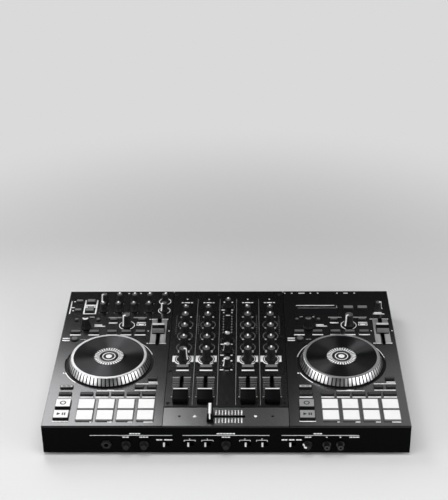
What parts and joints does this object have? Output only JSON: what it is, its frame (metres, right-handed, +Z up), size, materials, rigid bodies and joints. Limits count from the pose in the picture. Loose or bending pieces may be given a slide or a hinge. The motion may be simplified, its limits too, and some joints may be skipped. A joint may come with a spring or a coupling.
{
  "type": "dj controller",
  "caption": "Flat table-top controller with two ribbed jog wheel decks, performance pads, a mixer with knobs and faders, a crossfader and front and rear sockets.",
  "frame": {"origin": "on the table under the middle of the case", "axes": "+X to the user's right, +Y to the rear, +Z up"},
  "size_m": [0.515, 0.369, 0.073],
  "materials": {
    "deck_metal": "satin dark grey",
    "mixer_black": "satin black",
    "case_black": "fine texture",
    "fascia_black": "satin black",
    "foot_rubber": "matte",
    "screw_steel": "blackened",
    "board_green": "solder mask",
    "control_metal": "plain",
    "bearing_metal": "turned",
    "socket_black": "moulded",
    "phono_metal": "plated",
    "display_glass": "polished",
    "knob_rubber": "soft touch",
    "switch_white": "satin",
    "cap_black": "satin",
    "jog_metal": "bright metallic",
    "touch_black": "spun sheen",
    "pad_white": "translucent, lit white",
    "key_grey": "satin"
  },
  "bodies": {
    "case": {"deck_panels": "deck_metal", "mixer_panel": "mixer_black", "crossfader_panel": "deck_metal", "bottom_case": "case_black", "front_fascia": "fascia_black", "rear_panel": "fascia_black", "rubber_feet": "foot_rubber", "panel_screws": "screw_steel", "circuit_boards": "board_green", "control_bodies": "control_metal", "jog_bearings": "bearing_metal", "jack_sockets": "socket_black", "phono_sockets": "phono_metal", "rear_ports": "socket_black", "display_window": "display_glass", "fixed_knobs": "knob_rubber"},
    "left_jog": {"left_jog_wheel": "jog_metal", "left_touch_disc": "touch_black"},
    "left_tempo_fader": {"left_tempo_fader": "cap_black"},
    "left_loop_knob": {"left_loop_knob": "knob_rubber"},
    "left_browse_knob": {"left_browse_knob": "knob_rubber"},
    "left_pads": {"left_pads": "pad_white"},
    "left_transport_keys": {"left_transport_keys": "key_grey"},
    "left_keys": {"left_keys": "key_grey"},
    "right_jog": {"right_jog_wheel": "jog_metal", "right_touch_disc": "touch_black"},
    "right_tempo_fader": {"right_tempo_fader": "cap_black"},
    "right_loop_knob": {"right_loop_knob": "knob_rubber"},
    "right_browse_knob": {"right_browse_knob": "knob_rubber"},
    "right_pads": {"right_pads": "pad_white"},
    "right_transport_keys": {"right_transport_keys": "key_grey"},
    "right_keys": {"right_keys": "key_grey"},
    "channel_fader_1": {"channel_fader_1": "cap_black"},
    "filter_knob_1": {"filter_knob_1": "knob_rubber"},
    "low_knob_1": {"low_knob_1": "knob_rubber"},
    "mid_knob_1": {"mid_knob_1": "knob_rubber"},
    "high_knob_1": {"high_knob_1": "knob_rubber"},
    "channel_fader_2": {"channel_fader_2": "cap_black"},
    "filter_knob_2": {"filter_knob_2": "knob_rubber"},
    "low_knob_2": {"low_knob_2": "knob_rubber"},
    "mid_knob_2": {"mid_knob_2": "knob_rubber"},
    "high_knob_2": {"high_knob_2": "knob_rubber"},
    "channel_fader_3": {"channel_fader_3": "cap_black"},
    "filter_knob_3": {"filter_knob_3": "knob_rubber"},
    "low_knob_3": {"low_knob_3": "knob_rubber"},
    "mid_knob_3": {"mid_knob_3": "knob_rubber"},
    "high_knob_3": {"high_knob_3": "knob_rubber"},
    "channel_fader_4": {"channel_fader_4": "cap_black"},
    "filter_knob_4": {"filter_knob_4": "knob_rubber"},
    "low_knob_4": {"low_knob_4": "knob_rubber"},
    "mid_knob_4": {"mid_knob_4": "knob_rubber"},
    "high_knob_4": {"high_knob_4": "knob_rubber"},
    "level_knob": {"level_knob": "knob_rubber"},
    "mix_knob": {"mix_knob": "knob_rubber"},
    "booth_knob": {"booth_knob": "knob_rubber"},
    "main_knob": {"main_knob": "knob_rubber"},
    "crossfader": {"crossfader": "cap_black"},
    "mixer_keys": {"mixer_keys": "key_grey"},
    "front_switches": {"front_switches": "switch_white"},
    "power_button": {"power_button": "cap_black"}
  },
  "joints": [
    {"name": "left_jog_turn", "type": "hinge", "parent": "case", "child": "left_jog", "pos_m": [-0.1762, -0.0235, 0.052], "axis": [0, 0, 1], "continuous": true},
    {"name": "left_tempo_fader_slide", "type": "slide", "parent": "case", "child": "left_tempo_fader", "axis": [0, 1, 0], "range_m": [-0.0315, 0.0315]},
    {"name": "left_loop_knob_turn", "type": "hinge", "parent": "case", "child": "left_loop_knob", "pos_m": [-0.15803, 0.076, 0.052], "axis": [0, 0, 1], "continuous": true},
    {"name": "left_browse_knob_turn", "type": "hinge", "parent": "case", "child": "left_browse_knob", "pos_m": [-0.2214, 0.07, 0.052], "axis": [0, 0, 1], "continuous": true},
    {"name": "left_pads_press", "type": "slide", "parent": "case", "child": "left_pads", "axis": [0, 0, -1], "range_m": [0, 0.0012], "stiffness_N_per_m": 500, "springref_m": -0.002},
    {"name": "left_transport_keys_press", "type": "slide", "parent": "case", "child": "left_transport_keys", "axis": [0, 0, -1], "range_m": [0, 0.0012], "stiffness_N_per_m": 500, "springref_m": -0.002},
    {"name": "left_keys_press", "type": "slide", "parent": "case", "child": "left_keys", "axis": [0, 0, -1], "range_m": [0, 0.0012], "stiffness_N_per_m": 500, "springref_m": -0.002},
    {"name": "right_jog_turn", "type": "hinge", "parent": "case", "child": "right_jog", "pos_m": [0.1702, -0.0235, 0.052], "axis": [0, 0, 1], "continuous": true},
    {"name": "right_tempo_fader_slide", "type": "slide", "parent": "case", "child": "right_tempo_fader", "axis": [0, 1, 0], "range_m": [-0.0315, 0.0315]},
    {"name": "right_loop_knob_turn", "type": "hinge", "parent": "case", "child": "right_loop_knob", "pos_m": [0.18837, 0.076, 0.052], "axis": [0, 0, 1], "continuous": true},
    {"name": "right_browse_knob_turn", "type": "hinge", "parent": "case", "child": "right_browse_knob", "pos_m": [0.125, 0.07, 0.052], "axis": [0, 0, 1], "continuous": true},
    {"name": "right_pads_press", "type": "slide", "parent": "case", "child": "right_pads", "axis": [0, 0, -1], "range_m": [0, 0.0012], "stiffness_N_per_m": 500, "springref_m": -0.002},
    {"name": "right_transport_keys_press", "type": "slide", "parent": "case", "child": "right_transport_keys", "axis": [0, 0, -1], "range_m": [0, 0.0012], "stiffness_N_per_m": 500, "springref_m": -0.002},
    {"name": "right_keys_press", "type": "slide", "parent": "case", "child": "right_keys", "axis": [0, 0, -1], "range_m": [0, 0.0012], "stiffness_N_per_m": 500, "springref_m": -0.002},
    {"name": "channel_fader_1_slide", "type": "slide", "parent": "case", "child": "channel_fader_1", "axis": [0, 1, 0], "range_m": [0, 0.05]},
    {"name": "filter_knob_1_turn", "type": "hinge", "parent": "case", "child": "filter_knob_1", "pos_m": [-0.066, -0.0156, 0.052], "axis": [0, 0, 1], "range_deg": [-15, 285]},
    {"name": "low_knob_1_turn", "type": "hinge", "parent": "case", "child": "low_knob_1", "pos_m": [-0.066, 0.0154, 0.052], "axis": [0, 0, 1], "range_deg": [-150, 150]},
    {"name": "mid_knob_1_turn", "type": "hinge", "parent": "case", "child": "mid_knob_1", "pos_m": [-0.066, 0.0464, 0.052], "axis": [0, 0, 1], "range_deg": [-150, 150]},
    {"name": "high_knob_1_turn", "type": "hinge", "parent": "case", "child": "high_knob_1", "pos_m": [-0.066, 0.0774, 0.052], "axis": [0, 0, 1], "range_deg": [-150, 150]},
    {"name": "channel_fader_2_slide", "type": "slide", "parent": "case", "child": "channel_fader_2", "axis": [0, 1, 0], "range_m": [0, 0.05]},
    {"name": "filter_knob_2_turn", "type": "hinge", "parent": "case", "child": "filter_knob_2", "pos_m": [-0.031, -0.0156, 0.052], "axis": [0, 0, 1], "range_deg": [-150, 150]},
    {"name": "low_knob_2_turn", "type": "hinge", "parent": "case", "child": "low_knob_2", "pos_m": [-0.031, 0.0154, 0.052], "axis": [0, 0, 1], "range_deg": [-150, 150]},
    {"name": "mid_knob_2_turn", "type": "hinge", "parent": "case", "child": "mid_knob_2", "pos_m": [-0.031, 0.0464, 0.052], "axis": [0, 0, 1], "range_deg": [-150, 150]},
    {"name": "high_knob_2_turn", "type": "hinge", "parent": "case", "child": "high_knob_2", "pos_m": [-0.031, 0.0774, 0.052], "axis": [0, 0, 1], "range_deg": [-150, 150]},
    {"name": "channel_fader_3_slide", "type": "slide", "parent": "case", "child": "channel_fader_3", "axis": [0, 1, 0], "range_m": [0, 0.05]},
    {"name": "filter_knob_3_turn", "type": "hinge", "parent": "case", "child": "filter_knob_3", "pos_m": [0.031, -0.0156, 0.052], "axis": [0, 0, 1], "range_deg": [-150, 150]},
    {"name": "low_knob_3_turn", "type": "hinge", "parent": "case", "child": "low_knob_3", "pos_m": [0.031, 0.0154, 0.052], "axis": [0, 0, 1], "range_deg": [-150, 150]},
    {"name": "mid_knob_3_turn", "type": "hinge", "parent": "case", "child": "mid_knob_3", "pos_m": [0.031, 0.0464, 0.052], "axis": [0, 0, 1], "range_deg": [-150, 150]},
    {"name": "high_knob_3_turn", "type": "hinge", "parent": "case", "child": "high_knob_3", "pos_m": [0.031, 0.0774, 0.052], "axis": [0, 0, 1], "range_deg": [-150, 150]},
    {"name": "channel_fader_4_slide", "type": "slide", "parent": "case", "child": "channel_fader_4", "axis": [0, 1, 0], "range_m": [0, 0.05]},
    {"name": "filter_knob_4_turn", "type": "hinge", "parent": "case", "child": "filter_knob_4", "pos_m": [0.066, -0.0156, 0.052], "axis": [0, 0, 1], "range_deg": [-150, 150]},
    {"name": "low_knob_4_turn", "type": "hinge", "parent": "case", "child": "low_knob_4", "pos_m": [0.066, 0.0154, 0.052], "axis": [0, 0, 1], "range_deg": [-150, 150]},
    {"name": "mid_knob_4_turn", "type": "hinge", "parent": "case", "child": "mid_knob_4", "pos_m": [0.066, 0.0464, 0.052], "axis": [0, 0, 1], "range_deg": [-150, 150]},
    {"name": "high_knob_4_turn", "type": "hinge", "parent": "case", "child": "high_knob_4", "pos_m": [0.066, 0.0774, 0.052], "axis": [0, 0, 1], "range_deg": [-150, 150]},
    {"name": "level_knob_turn", "type": "hinge", "parent": "case", "child": "level_knob", "pos_m": [0, -0.0331, 0.052], "axis": [0, 0, 1], "range_deg": [-280, 20]},
    {"name": "mix_knob_turn", "type": "hinge", "parent": "case", "child": "mix_knob", "pos_m": [0, 0.0044, 0.052], "axis": [0, 0, 1], "range_deg": [-240, 60]},
    {"name": "booth_knob_turn", "type": "hinge", "parent": "case", "child": "booth_knob", "pos_m": [0, 0.0334, 0.052], "axis": [0, 0, 1], "range_deg": [-190, 110]},
    {"name": "main_knob_turn", "type": "hinge", "parent": "case", "child": "main_knob", "pos_m": [0, 0.1289, 0.052], "axis": [0, 0, 1], "range_deg": [-150, 150]},
    {"name": "crossfader_slide", "type": "slide", "parent": "case", "child": "crossfader", "axis": [1, 0, 0], "range_m": [0, 0.045]},
    {"name": "mixer_keys_press", "type": "slide", "parent": "case", "child": "mixer_keys", "axis": [0, 0, -1], "range_m": [0, 0.0012], "stiffness_N_per_m": 500, "springref_m": -0.002},
    {"name": "front_switches_slide", "type": "slide", "parent": "case", "child": "front_switches", "axis": [1, 0, 0], "range_m": [0, 0.006]},
    {"name": "power_button_press", "type": "slide", "parent": "case", "child": "power_button", "axis": [0, -1, 0], "range_m": [0, 0.003], "stiffness_N_per_m": 500, "springref_m": -0.002}
  ]
}
